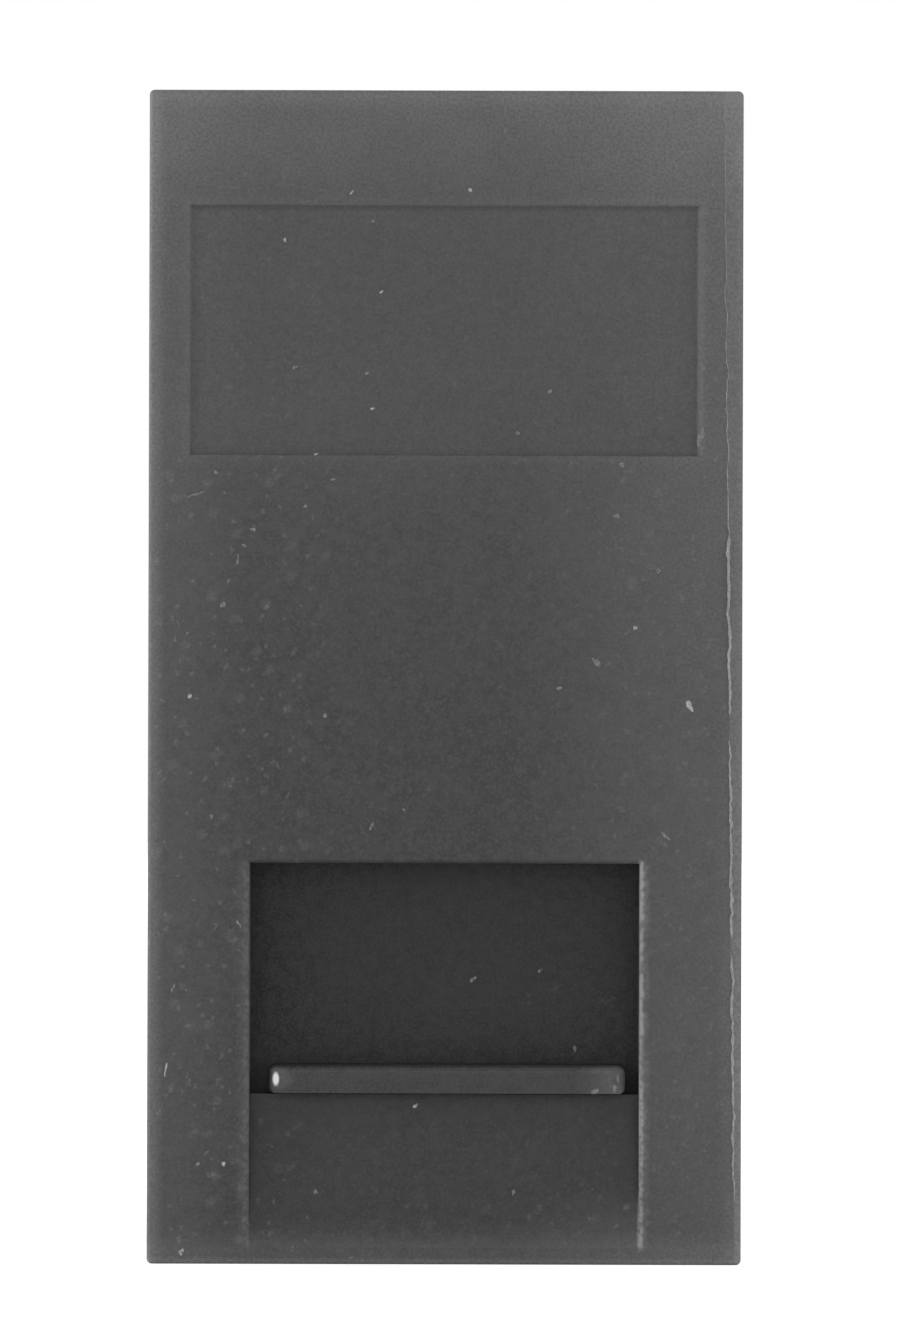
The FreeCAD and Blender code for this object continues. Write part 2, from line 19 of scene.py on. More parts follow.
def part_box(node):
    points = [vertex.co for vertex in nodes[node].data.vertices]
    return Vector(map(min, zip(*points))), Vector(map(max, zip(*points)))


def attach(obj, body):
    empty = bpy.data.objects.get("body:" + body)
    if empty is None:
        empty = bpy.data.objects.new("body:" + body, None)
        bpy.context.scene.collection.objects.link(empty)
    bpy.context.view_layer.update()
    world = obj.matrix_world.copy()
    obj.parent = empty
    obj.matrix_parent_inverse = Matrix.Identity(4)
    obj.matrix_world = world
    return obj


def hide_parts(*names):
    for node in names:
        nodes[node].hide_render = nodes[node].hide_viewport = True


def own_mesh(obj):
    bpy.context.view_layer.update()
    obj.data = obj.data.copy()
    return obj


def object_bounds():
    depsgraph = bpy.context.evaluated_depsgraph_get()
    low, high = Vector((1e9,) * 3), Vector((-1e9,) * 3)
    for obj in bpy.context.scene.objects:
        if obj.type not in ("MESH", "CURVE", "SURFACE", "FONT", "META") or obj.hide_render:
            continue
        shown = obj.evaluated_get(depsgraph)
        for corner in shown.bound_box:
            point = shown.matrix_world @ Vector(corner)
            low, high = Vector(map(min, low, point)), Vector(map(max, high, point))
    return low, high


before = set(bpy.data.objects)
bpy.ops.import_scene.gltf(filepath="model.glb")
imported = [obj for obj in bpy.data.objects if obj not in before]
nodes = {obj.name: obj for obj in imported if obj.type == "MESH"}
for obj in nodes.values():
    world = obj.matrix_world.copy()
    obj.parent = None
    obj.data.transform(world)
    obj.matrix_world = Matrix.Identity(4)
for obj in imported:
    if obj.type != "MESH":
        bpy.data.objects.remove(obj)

mm = 0.001
scene = bpy.context.scene
cad_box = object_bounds()
housing_low, housing_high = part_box("front_housing")
face_y = housing_low.y
print(f"{len(nodes)} pieces, face at y = {face_y / mm:.2f} mm")

# %% [markdown]
# ## The camera
#
# The photograph looks straight at the face from about ten times the module's width, so the sides
# do not show. The lens follows from that distance and from how many pixels a millimetre takes.
# The module stands a hair off centre and a sixth of a degree askew, which the camera repeats.

# %% Camera
photo_width = 903
photo_height = 1338
pixels_per_mm = 23.78
face_middle_x = 445.25
face_middle_y = 677.4
camera_distance = 250 * mm
camera_roll = math.radians(0.16)

lens = bpy.data.cameras.new("photo_camera")
lens.sensor_fit = "VERTICAL"
lens.sensor_height = 24.0
lens.lens = lens.sensor_height * camera_distance / (photo_height / pixels_per_mm * mm)
lens.clip_start = 1 * mm
camera = bpy.data.objects.new("photo_camera", lens)
aside = (photo_width / 2 - face_middle_x) / pixels_per_mm * mm
above = (face_middle_y - photo_height / 2) / pixels_per_mm * mm
place = Matrix.Translation((aside, face_y - camera_distance, above))
facing = Matrix.Rotation(math.radians(90), 4, "X")
camera.matrix_world = place @ facing @ Matrix.Rotation(camera_roll, 4, "Z")
scene.collection.objects.link(camera)
scene.camera = camera
scene.view_settings.view_transform = "Standard"
print(f"lens {lens.lens:.1f} mm at {camera_distance / mm:.0f} mm")

# %% [markdown]
# ## Light
#
# The picture was taken in even light from all round, as in a light tent: every corner that sees
# less of the tent is darker, and nothing throws a hard shadow. The world below gives that light.
# A few lamps add direction. A strip on the left brightens what turns to the left, a weaker one
# does so on the right, and a card on the floor throws light up under the rib of the shutter. Soft
# panels in front and behind give the form.

# %% Lamps
def soft_lamp(name, middle, size, watts):
    """Area lamp that faces the module, out of the camera's sight."""
    lamp = bpy.data.lights.new(name, "AREA")
    lamp.shape = "RECTANGLE"
    lamp.size = size[0]
    lamp.size_y = size[1]
    lamp.energy = watts
    panel = bpy.data.objects.new(name, lamp)
    panel.location = middle
    panel.rotation_euler = (-Vector(middle)).to_track_quat("-Z", "Y").to_euler()
    panel.visible_camera = False
    scene.collection.objects.link(panel)


soft_lamp("left_strip", middle=(-0.080, -0.020, 0.0), size=(0.03, 0.10), watts=0.050)
soft_lamp("right_strip", middle=(0.080, -0.020, 0.0), size=(0.03, 0.10), watts=0.028)
soft_lamp("floor_card", middle=(0.0, -0.045, -0.023), size=(0.08, 0.05), watts=0.006)
soft_lamp("front_fill", middle=(0.0, -0.45, 0.03), size=(0.40, 0.40), watts=0.35)
soft_lamp("back_fill", middle=(0.12, 0.40, 0.20), size=(0.50, 0.40), watts=0.80)

# %% [markdown]
# ## Backdrop and floor
#
# Behind the module everything is white. The world shows white to the camera and to reflections,
# while the light that it casts is a little less, so the lamps keep their say. The floor is a pale
# sheet just under the lowest edge. A part of its brightness reaches only the camera, so that it
# meets the white of the world and still holds the soft shadow of the module.

# %% World
world_light = 0.65

world = bpy.data.worlds.new("studio")
world.use_nodes = True
scene.world = world
sky = world.node_tree
sky.nodes.clear()
rays = sky.nodes.new("ShaderNodeLightPath")
seen = sky.nodes.new("ShaderNodeMath")
seen.operation = "MAXIMUM"
seen_through = sky.nodes.new("ShaderNodeMath")
seen_through.operation = "MAXIMUM"
sky.links.new(rays.outputs["Is Camera Ray"], seen.inputs[0])
sky.links.new(rays.outputs["Is Glossy Ray"], seen.inputs[1])
sky.links.new(seen.outputs[0], seen_through.inputs[0])
sky.links.new(rays.outputs["Is Transmission Ray"], seen_through.inputs[1])
strength = sky.nodes.new("ShaderNodeMapRange")
strength.inputs["To Min"].default_value = world_light
strength.inputs["To Max"].default_value = 1.0
sky.links.new(seen_through.outputs[0], strength.inputs["Value"])
glow = sky.nodes.new("ShaderNodeBackground")
glow.inputs["Color"].default_value = (1, 1, 1, 1)
sky.links.new(strength.outputs["Result"], glow.inputs["Strength"])
sky_out = sky.nodes.new("ShaderNodeOutputWorld")
sky.links.new(glow.outputs["Background"], sky_out.inputs["Surface"])
print(f"world casts {world_light} and shows 1")

# %% Floor
floor_half = 0.6
floor_lift = 0.52

floor_form = bmesh.new()
bmesh.ops.create_grid(floor_form, x_segments=1, y_segments=1, size=floor_half)
bmesh.ops.translate(floor_form, verts=floor_form.verts, vec=(0, 0, cad_box[0].z))
floor_mesh = bpy.data.meshes.new("floor")
floor_form.to_mesh(floor_mesh)
floor_form.free()
floor = bpy.data.objects.new("floor", floor_mesh)
scene.collection.objects.link(floor)

paper = bpy.data.materials.new("floor_paper")
paper.use_nodes = True
sheet = paper.node_tree
sheet_shader = sheet.nodes["Principled BSDF"]
sheet_shader.inputs["Base Color"].default_value = (0.8, 0.8, 0.8, 1)
sheet_shader.inputs["Roughness"].default_value = 0.9
sheet_shader.inputs["Specular IOR Level"].default_value = 0.1
sheet_shader.inputs["Emission Color"].default_value = (1, 1, 1, 1)
sheet_rays = sheet.nodes.new("ShaderNodeLightPath")
lift = sheet.nodes.new("ShaderNodeMath")
lift.operation = "MULTIPLY"
lift.inputs[1].default_value = floor_lift
sheet.links.new(sheet_rays.outputs["Is Camera Ray"], lift.inputs[0])
sheet.links.new(lift.outputs[0], sheet_shader.inputs["Emission Strength"])
floor_mesh.materials.append(paper)
print(f"floor at z = {cad_box[0].z / mm:.2f} mm")

# %% [markdown]
# ## Helpers for finishes
#
# Every finish below is a tree of shader nodes that reads Object coordinates, so a pattern stays
# put on its piece. These helpers add a node with its settings, shape a value into a mask, and mix
# two colours by a mask. A finish is then written as a few lines that read from top to bottom.

# %% Node helpers
def finish_named(name):
    """New material, with its node tree and its shader."""
    material = bpy.data.materials.new(name)
    material.use_nodes = True
    tree = material.node_tree
    return material, tree, tree.nodes["Principled BSDF"]


def add(tree, kind, settings=None, **links):
    """Node of one kind with its settings, and links into its sockets by name."""
    node = tree.nodes.new("ShaderNode" + kind)
    for key, value in (settings or {}).items():
        if key in node.inputs:
            node.inputs[key].default_value = value
        else:
            setattr(node, key, value)
    for key, source in links.items():
        tree.links.new(source, node.inputs[key])
    return node


def between(tree, value, low, high, to_low=0.0, to_high=1.0):
    """Value from low to high spread over another range, with smooth ends."""
    settings = {"interpolation_type": "SMOOTHSTEP", "From Min": low, "From Max": high,
                "To Min": to_low, "To Max": to_high}
    return add(tree, "MapRange", settings, Value=value).outputs["Result"]


def figure(tree, operation, *values):
    """Result of one operation on values, each a socket or a number."""
    node = add(tree, "Math", {"operation": operation})
    for socket, value in zip(node.inputs, values):
        if isinstance(value, (int, float)):
            socket.default_value = value
        else:
            tree.links.new(value, socket)
    return node.outputs[0]


def weaker(tree, mask, share):
    """Mask with only a share of its strength."""
    return figure(tree, "MULTIPLY", mask, share)


def all_of(tree, *masks):
    """Product of several masks."""
    product = masks[0]
    for mask in masks[1:]:
        product = figure(tree, "MULTIPLY", product, mask)
    return product


def any_of(tree, *masks):
    """Sum of several masks."""
    total = masks[0]
    for mask in masks[1:]:
        total = figure(tree, "ADD", total, mask)
    return total


def tint(tree, mask, first, second, blend="MIX"):
    """First colour where the mask is 0, second where it is 1; each a socket or three numbers."""
    node = add(tree, "Mix", {"data_type": "RGBA", "blend_type": blend})
    tree.links.new(mask, node.inputs["Factor"])
    for socket, value in ((node.inputs[6], first), (node.inputs[7], second)):
        if isinstance(value, tuple):
            socket.default_value = (*value, 1)
        else:
            tree.links.new(value, socket)
    return node.outputs[2]


# %% Pattern helpers
def place_on(tree):
    """Object coordinates of the piece, in metres."""
    return add(tree, "TexCoord").outputs["Object"]


def across(tree):
    """The three Object coordinates as separate values."""
    return add(tree, "SeparateXYZ", Vector=place_on(tree)).outputs


def grain(tree, size, detail=2.0, stretch=(1, 1, 1)):
    """Noise with features of one size in metres, as a value from 0 to 1."""
    mapping = add(tree, "Mapping", {"Scale": stretch}, Vector=place_on(tree))
    settings = {"Scale": 1 / size, "Detail": detail}
    return add(tree, "TexNoise", settings, Vector=mapping.outputs["Vector"]).outputs["Fac"]


def ragged(tree, vector, size, reach):
    """Places pushed about by noise, so that a shape drawn on them gets a ragged border."""
    push = add(tree, "TexNoise", {"Scale": 1 / size, "Detail": 1.0}, Vector=vector).outputs["Color"]
    node = add(tree, "VectorMath", {"operation": "MULTIPLY_ADD"})
    tree.links.new(push, node.inputs[0])
    node.inputs[1].default_value = (reach, reach, reach)
    tree.links.new(vector, node.inputs[2])
    return node.outputs[0]


def spots(tree, cells, reach, core, share):
    """Spot in the middle of some cells, full inside its core; share is the part that holds one."""
    near = between(tree, cells.outputs["Distance"], reach, core * reach)
    chosen = between(tree, cells.outputs["Color"], 0.98 - share, 1.02 - share)
    return all_of(tree, near, chosen)


def stripe(tree, value, low, high, soft):
    """Band of a value between two places, with soft borders."""
    rise = between(tree, value, low - soft, low + soft)
    fall = between(tree, value, high + soft, high - soft)
    return all_of(tree, rise, fall)


def oval(tree, x, z, middle, reach):
    """Round patch on the front, 1 in its middle and 0 at its border; sizes in mm."""
    aside = figure(tree, "DIVIDE", figure(tree, "SUBTRACT", x, middle[0] * mm), reach[0] * mm)
    up = figure(tree, "DIVIDE", figure(tree, "SUBTRACT", z, middle[1] * mm), reach[1] * mm)
    away = figure(tree, "ADD", all_of(tree, aside, aside), all_of(tree, up, up))
    return between(tree, away, 1.0, 0.1)


def relief(tree, shader, layers):
    """Bump from (height value, depth in metres) layers, the coarsest first."""
    normal = None
    for height, depth in layers:
        bump = add(tree, "Bump", {"Strength": 1.0, "Distance": depth}, Height=height)
        if normal is not None:
            tree.links.new(normal, bump.inputs["Normal"])
        normal = bump.outputs["Normal"]
    tree.links.new(normal, shader.inputs["Normal"])


def dress(material, *names):
    """Give the finish to these pieces of the frame."""
    for name in names:
        piece = nodes[name]
        piece.data.materials.clear()
        piece.data.materials.append(material)
    print(material.name, "on", ", ".join(names))


# %% [markdown]
# ## Moulded plastic
#
# The tool that moulded the module was roughened by sparks, so the plastic has a fine even grain
# and little gloss, and its tone mottles a little. One function makes all the plastics; colour,
# gloss, grain and mottling differ from piece to piece, and layers of dust, wear, painted light and
# painted shade can be laid over the plain plastic. The rear cover has such a layer, of dark pits and
# pale specks.

# %% Plastic
cloud_size = 3.0 * mm
blot_size = 0.45 * mm
ripple_size = 1.4 * mm
ripple_depth = 4e-6


def grey(level):
    """Neutral colour of one brightness."""
    return (level, level, level)


def shade(colour, factor):
    """Colour made lighter or darker."""
    return tuple(min(1.0, factor * part) for part in colour)


def moulded_plastic(name, colour, roughness, grain_size, grain_depth,
                    mottle=0.25, gloss=0.2, layers=(), polish=None):
    """Plastic of one colour with grain and mottling, layers of wear, dust and painted light, and polish
    where it is rubbed.
    """
    material, tree, shader = finish_named(name)
    fine = grain(tree, grain_size)
    clouds = between(tree, grain(tree, cloud_size), 0.30, 0.70, 0, 0.35)
    blots = between(tree, grain(tree, blot_size, 1.0), 0.30, 0.70, 0, 0.55)
    coat = tint(tree, clouds, shade(colour, 1 - mottle), colour)
    coat = tint(tree, blots, coat, shade(colour, 1 + mottle))
    coat = tint(tree, between(tree, fine, 0.40, 0.80), coat, shade(colour, 1 + 2 * mottle))
    for layer in layers:
        coat = layer(tree, coat)
    tree.links.new(coat, shader.inputs["Base Color"])
    dull = between(tree, fine, 0.2, 0.8, roughness - 0.06, roughness + 0.08)
    if polish:
        dull = figure(tree, "SUBTRACT", dull, polish(tree))
    tree.links.new(dull, shader.inputs["Roughness"])
    shader.inputs["Specular IOR Level"].default_value = gloss
    ripples = grain(tree, ripple_size, 1.0)
    relief(tree, shader, [(ripples, ripple_depth), (fine, grain_depth)])
    return material


# %% Finish of the hidden plastics
jack_black = (0.026, 0.026, 0.027)
cover_black = (0.042, 0.042, 0.043)
terminal_white = (0.63, 0.62, 0.58)


def specks(tree, spacing, radius, share):
    """Ragged dashes that lean to the right, in a share of the cells."""
    lean = {"vector_type": "TEXTURE", "Rotation": (0, math.radians(-40), 0), "Scale": (1.6, 1, 1)}
    mapping = add(tree, "Mapping", lean, Vector=place_on(tree))
    places = ragged(tree, mapping.outputs["Vector"], 1.5 * radius, 1.2 * radius)
    cells = add(tree, "TexVoronoi", {"Scale": 1 / spacing}, Vector=places)
    return spots(tree, cells, radius / spacing, 0.4, share)


def specked_cover(tree, coat):
    """Dark pits and pale specks in the cover's plastic."""
    pits = specks(tree, spacing=0.55 * mm, radius=0.05 * mm, share=0.15)
    coat = tint(tree, pits, coat, shade(cover_black, 0.5))
    pale = specks(tree, spacing=0.8 * mm, radius=0.06 * mm, share=0.10)
    return tint(tree, pale, coat, shade(cover_black, 2.6))


jack_finish = moulded_plastic("jack_plastic", jack_black, roughness=0.42,
                              grain_size=0.25 * mm, grain_depth=4e-6)
cover_finish = moulded_plastic("cover_plastic", cover_black, roughness=0.50,
                               grain_size=0.16 * mm, grain_depth=8e-6, layers=(specked_cover,))
terminal_finish = moulded_plastic("terminal_plastic", terminal_white, roughness=0.42,
                                  grain_size=0.30 * mm, grain_depth=3e-6, mottle=0.03, gloss=0.4)
dress(jack_finish, "jack_body", "contact_carrier")
dress(cover_finish, "rear_cover")
dress(terminal_finish, "idc_block_left", "idc_block_right")

# %% [markdown]
# ## Dust and painted sheen on the face
#
# The face is the same plastic, but it has been handled. A thin pale film lies on the front, partly
# dust and partly painted sheen. It is lightest along the top and fades downwards, and it is lighter
# beside both long edges than in the middle. Thin pale lines along the outer edges and on the walls of
# the label recess are painted highlights. Each part of the film is a mask made from the place on the
# face, and all of them are multiplied by noise so that the film looks powdery. The strip that a blade
# has pared off the right edge is paler still, partly from the cut and partly painted light, and so is
# what lies beside it.

# %% Places on the face
face_half = housing_high.x
face_top = housing_high.z
label_foot = 9.31 * mm
label_top = 19.87 * mm
label_left = -10.78 * mm
label_right = 10.66 * mm
window_half = 8.20 * mm
window_top = -7.8 * mm
rim_foot = -24.0 * mm
ramp_start = -17.6 * mm
ramp_full = -18.8 * mm
pared_top = face_half - 0.82 * mm
pared_foot = face_half - 0.27 * mm
pared_slope = (pared_foot - pared_top) / (2 * face_top)
pared_line = (pared_top + pared_foot) / 2
print(f"face {2 * face_half / mm:.1f} x {2 * face_top / mm:.1f} mm")


def front_only(tree, y):
    """1 on the front and 0 on the sides."""
    return between(tree, y, face_y + 0.5 * mm, face_y + 0.2 * mm)


def label_area(tree, x, z, margin, soft):
    """1 on the label recess, widened by a margin, and 0 elsewhere."""
    return all_of(tree, stripe(tree, x, label_left - margin, label_right + margin, soft),
                  stripe(tree, z, label_foot - margin, label_top + margin, soft))


# %% Dust and painted sheen
dust_and_sheen_colour = (0.180, 0.180, 0.182)


def dust_film(tree, coat):
    """Dust and painted sheen towards the top and sides, painted highlights on the edges, and the cut on
    the right.
    """
    x, y, z = across(tree)
    # the film is partly dust and partly painted sheen: top, down, left and right lighten the front
    # towards its top and long edges; top_line, left_line, right_line and foot_line are painted highlights
    top_line = between(tree, z, face_top - 1.0 * mm, face_top, 0, 0.20)
    top = between(tree, z, face_top - 6.5 * mm, face_top, 0, 0.26)
    down = between(tree, z, face_top - 32 * mm, face_top, 0, 0.22)
    left_line = between(tree, x, -face_half + 0.8 * mm, -face_half, 0, 0.40)
    left = between(tree, x, -face_half + 5 * mm, -face_half, 0, 0.16)
    label_share = between(tree, label_area(tree, x, z, 0, 0.2 * mm), 0, 1, 1.0, 0.46)
    right = all_of(tree, between(tree, x, face_half - 11 * mm, face_half, 0, 0.26), label_share)
    right_line = between(tree, x, face_half - 0.35 * mm, face_half, 0, 0.12)
    foot = between(tree, z, -face_top + 1.6 * mm, -face_top + 0.4 * mm, 0, 0.19)
    foot_line = between(tree, z, -face_top + 0.35 * mm, -face_top, 0, 0.45)
    handled = weaker(tree, oval(tree, x, z, middle=(-2.5, 10.8), reach=(10.5, 4.5)), 0.03)
    # painted light on the walls of the label recess, in lip and ledge
    lip = all_of(tree, label_area(tree, x, z, 0.3 * mm, 0.2 * mm),
                 between(tree, y, face_y + 0.10 * mm, face_y + 0.03 * mm, 0, 0.06))
    # paler pared cut and the band beside it, partly painted light
    aside = figure(tree, "MULTIPLY_ADD", z, pared_slope, x)
    cut = all_of(tree, between(tree, aside, pared_line - 0.06 * mm, pared_line + 0.06 * mm),
                 between(tree, z, 20 * mm, -20 * mm, 0.12, 0.28))
    beside_cut = all_of(tree, between(tree, aside, pared_line - 0.8 * mm, pared_line, 0, 0.16),
                        between(tree, z, 8 * mm, -16 * mm))
    ledge = all_of(tree, stripe(tree, z, label_foot - 0.02 * mm, label_foot + 0.12 * mm, 0.04 * mm),
                   stripe(tree, x, label_left + 0.08 * mm, label_right - 0.06 * mm, 0.1 * mm))
    ledge = weaker(tree, ledge, 0.10)
    film = any_of(tree, top_line, top, down, left_line, left, right, right_line,
                  foot, foot_line, cut, beside_cut, handled, lip, ledge)
    patchy = between(tree, grain(tree, 2.2 * mm), 0.25, 0.75, 0.93, 1.07)
    powdery = between(tree, grain(tree, 0.12 * mm, 1.0), 0.30, 0.70, 0.78, 1.22)
    film = all_of(tree, film, front_only(tree, y), patchy, powdery)
    return tint(tree, film, coat, dust_and_sheen_colour)


# %% [markdown]
# ## Painted shade and smudges
#
# Painted shade darkens the corner under the upper wall of the label recess, and more painted shade
# darkens the ramp below the window. Dust has also gathered in faint smudges. A Voronoi texture parts
# the front into cells, some cells hold a mark in their middle, and noise pushes the places about so
# that the marks get ragged borders. There are most marks on the left and fewest in the middle, and
# they are weaker on the label.

# %% Painted shade in the label corner and on the ramp
label_corner_shade = grey(0.88)
ramp_shade = grey(0.80)


def grimy_corner(tree, coat):
    """Painted shade in the corner under the upper wall of the label recess."""
    x, y, z = across(tree)
    # painted shade under the upper wall of the label recess
    corner = all_of(tree, stripe(tree, z, label_top - 0.24 * mm, label_top - 0.08 * mm, 0.04 * mm),
                    stripe(tree, x, label_left, label_right, 0.1 * mm))
    return tint(tree, corner, coat, label_corner_shade, "MULTIPLY")


def on_ramp(tree):
    """1 on the ramp below the window and 0 elsewhere."""
    x, y, z = across(tree)
    return all_of(tree, stripe(tree, x, -window_half, window_half, 0.05 * mm),
                  between(tree, z, ramp_start, ramp_full),
                  between(tree, y, face_y + 0.02 * mm, face_y + 0.3 * mm))


def wiped_ramp(tree, coat):
    """Painted shade that darkens the ramp below the window."""
    # painted shade that darkens the ramp
    return tint(tree, on_ramp(tree), coat, ramp_shade, "MULTIPLY")


# %% Smudges
smudge_colour = (0.24, 0.24, 0.235)
# broad marks, dashes and dots: spacing and radius in mm, share, lean in degrees, stretch, strength
smudge_kinds = [
    (1.4, 0.28, 0.55, 30, 1.3, 0.16),
    (1.0, 0.12, 0.55, 55, 1.8, 0.28),
    (0.7, 0.11, 0.45, 130, 1.3, 0.26),
]


def smudges(tree, places, spacing, radius, share, lean, stretch):
    """Marks scattered over flat places, in a share of the cells."""
    turn = {"vector_type": "TEXTURE", "Rotation": (0, 0, math.radians(lean)), "Scale": (stretch, 1, 1)}
    mapping = add(tree, "Mapping", turn, Vector=places)
    settings = {"voronoi_dimensions": "2D", "Scale": 1 / spacing}
    cells = add(tree, "TexVoronoi", settings, Vector=mapping.outputs["Vector"])
    return spots(tree, cells, radius / spacing, 0.2, share)


def smudged(tree, coat):
    """Faint smudges and short fibres of dust, more of them on the left and few on the label."""
    x, y, z = across(tree)
    flat = add(tree, "CombineXYZ", X=x, Y=z).outputs[0]
    places = ragged(tree, flat, 0.22 * mm, 0.30 * mm)
    kinds = []
    for spacing, radius, share, lean, stretch, strength in smudge_kinds:
        kind = smudges(tree, places, spacing * mm, radius * mm, share, lean, stretch)
        kinds.append(weaker(tree, kind, strength))
    spread = any_of(tree, between(tree, x, -4 * mm, -7 * mm, 0.3, 1.0),
                    between(tree, x, 4 * mm, 7 * mm, 0, 0.3))
    broken = between(tree, grain(tree, 0.12 * mm, 1.0), 0.35, 0.65, 0.4, 1.0)
    label = all_of(tree, between(tree, z, label_foot - 0.1 * mm, label_foot + 0.1 * mm),
                   between(tree, x, label_right + 0.14 * mm, label_right - 0.16 * mm))
    kept = between(tree, label, 0, 1, 1.0, 0.4)
    seen_on = any_of(tree, front_only(tree, y), weaker(tree, on_ramp(tree), 0.7))
    marks = all_of(tree, any_of(tree, *kinds), spread, broken, kept, seen_on)
    return tint(tree, marks, coat, smudge_colour)


# %% [markdown]
# ## Worn edges and painted highlights
#
# Edges are painted pale, partly as wear and partly as painted highlights: the rims of the window, most
# of all on the right, and the right side of the label recess. Each is a band along its edge with soft
# borders, multiplied by noise so that it frays. With this last layer the finish of the face is complete.

# %% Worn edges and painted highlights
edge_highlight_colour = grey(0.240)


def rubbed_edges(tree, coat):
    """Pale lines on the rims of the window and of the label recess, partly wear and partly painted
    highlights.
    """
    x, y, z = across(tree)
    frayed = between(tree, grain(tree, 0.22 * mm, 3.0), 0.32, 0.66, 0.35, 1.0)
    window_part = stripe(tree, z, rim_foot, window_top, 0.25 * mm)
    # painted highlight, partly wear: crest and halo along the right rim of the window; the left rim and
    # left_halo get weaker painted light
    crest = stripe(tree, x, window_half - 0.04 * mm, window_half + 0.16 * mm, 0.08 * mm)
    halo = all_of(tree, between(tree, x, window_half + 0.55 * mm, window_half, 0, 0.60),
                  between(tree, x, window_half - 0.08 * mm, window_half - 0.03 * mm))
    left_rim = stripe(tree, x, -window_half - 0.25 * mm, -window_half + 0.02 * mm, 0.08 * mm)
    left_halo = all_of(tree, between(tree, x, -window_half - 0.75 * mm, -window_half - 0.1 * mm, 0, 0.16),
                       between(tree, x, -window_half + 0.03 * mm, -window_half - 0.02 * mm))
    chipped = between(tree, grain(tree, 0.9 * mm), 0.35, 0.65, 0.6, 1.2)
    right_rim = all_of(tree, any_of(tree, crest, halo), chipped)
    rims = any_of(tree, right_rim, weaker(tree, left_rim, 0.09), left_halo)
    # painted highlight, partly wear, on the right side of the label recess
    label_part = stripe(tree, z, label_foot + 0.09 * mm, label_top - 0.07 * mm, 0.25 * mm)
    label_edge = stripe(tree, x, label_right - 0.06 * mm, label_right + 0.14 * mm, 0.15 * mm)
    label_rim = weaker(tree, all_of(tree, label_edge, label_part), 0.24)
    worn = any_of(tree, all_of(tree, rims, window_part), label_rim)
    return tint(tree, all_of(tree, worn, frayed, front_only(tree, y)), coat, edge_highlight_colour)


# %% Face
face_black = (0.0455, 0.0455, 0.0465)
face_layers = (dust_film, grimy_corner, wiped_ramp, smudged, rubbed_edges)
face_finish = moulded_plastic("face_plastic", face_black, roughness=0.52, grain_size=0.11 * mm,
                              grain_depth=9e-6, mottle=0.20, layers=face_layers)
dress(face_finish, "front_housing")

# %% [markdown]
# ## The shutter
#
# The shutter is moulded from the same plastic. It sits behind the face, and its colour is darker,
# partly as painted shade of the recess, with a wide paler patch of painted light in its middle and
# faint scuffs. Plugs and fingers push it up by the rib at its foot, which is smoother and painted
# paler as painted light, with worn scuffs at its right end and a painted highlight at its left end.
# What belongs to the rib is found by how far forward a point lies.

# %% Shutter
# darker than the face's plastic, partly as painted shade of the window recess
shutter_black_and_shade = (0.0185, 0.0185, 0.0190)
rib_back = -4.4 * mm
rib_front = -5.2 * mm
rib_crown = -5.3 * mm
rib_right = 7.63 * mm
# middle of the painted highlight on the rib's left end, in mm
glint_spot = (-7.09, -16.93)
# middle and reach of each faint scuff on the plate, in mm
plate_scuffs = [((3.5, -13.7), (0.25, 0.7)), ((7.0, -13.8), (0.7, 0.4)), ((4.4, -13.2), (0.7, 0.3))]


def scuffed_plate(tree, coat):
    """Wide paler patch of painted light in the middle of the plate, and faint scuffs where plugs have
    rubbed it.
    """
    x, y, z = across(tree)
    # painted light: the middle of the recessed plate is painted paler than its sides
    lit_middle = weaker(tree, oval(tree, x, z, middle=(0.8, -11.8), reach=(9.5, 5.6)), 0.45)
    coat = tint(tree, lit_middle, coat, grey(0.034))
    fuzzy = between(tree, grain(tree, 0.20 * mm, 4.0), 0.45, 0.75, 0, 0.07)
    for middle, reach in plate_scuffs:
        scuff = all_of(tree, oval(tree, x, z, middle, reach), fuzzy)
        coat = tint(tree, scuff, coat, grey(0.30))
    return coat


def rubbed_rib(tree, coat):
    """Rib painted paler than the plate as painted light, worn scuffs at its right end, and a painted
    highlight at its left end.
    """
    x, y, z = across(tree)
    rib = between(tree, y, rib_back, rib_front)
    # painted light: the rib, standing forward of the recessed plate, is painted paler
    coat = tint(tree, weaker(tree, rib, 0.32), coat, grey(0.085))
    scuffed = between(tree, grain(tree, 0.30 * mm, 3.0), 0.35, 0.65, 0.6, 1.0)
    worn = between(tree, x, rib_right - 2.2 * mm, rib_right - 0.5 * mm, 0, 0.26)
    coat = tint(tree, all_of(tree, rib, worn, scuffed), coat, grey(0.22))
    # painted highlight: a glint on the rounded left end of the rib
    glint_halo = weaker(tree, oval(tree, x, z, glint_spot, reach=(0.9, 0.6)), 0.05)
    glint = any_of(tree, oval(tree, x, z, glint_spot, reach=(0.17, 0.35)), glint_halo)
    return tint(tree, all_of(tree, rib, glint), coat, grey(0.75))


def rib_polish(tree):
    """How much smoother the rib is."""
    return between(tree, across(tree)["Y"], rib_back, rib_crown, 0, 0.22)


shutter_finish = moulded_plastic("shutter_plastic", shutter_black_and_shade, roughness=0.50,
                                 grain_size=0.11 * mm, grain_depth=6e-6, mottle=0.65,
                                 layers=(scuffed_plate, rubbed_rib), polish=rib_polish)
dress(shutter_finish, "shutter")

# %% [markdown]
# ## Metals and the board
#
# Gold flash on the contacts, dull tin on the forked terminals, drawn steel wire and zinc plate on
# the screws are all metals with a base colour of their own. What tells them apart is colour,
# roughness and the direction of fine lines left by drawing, stamping or tumbling.

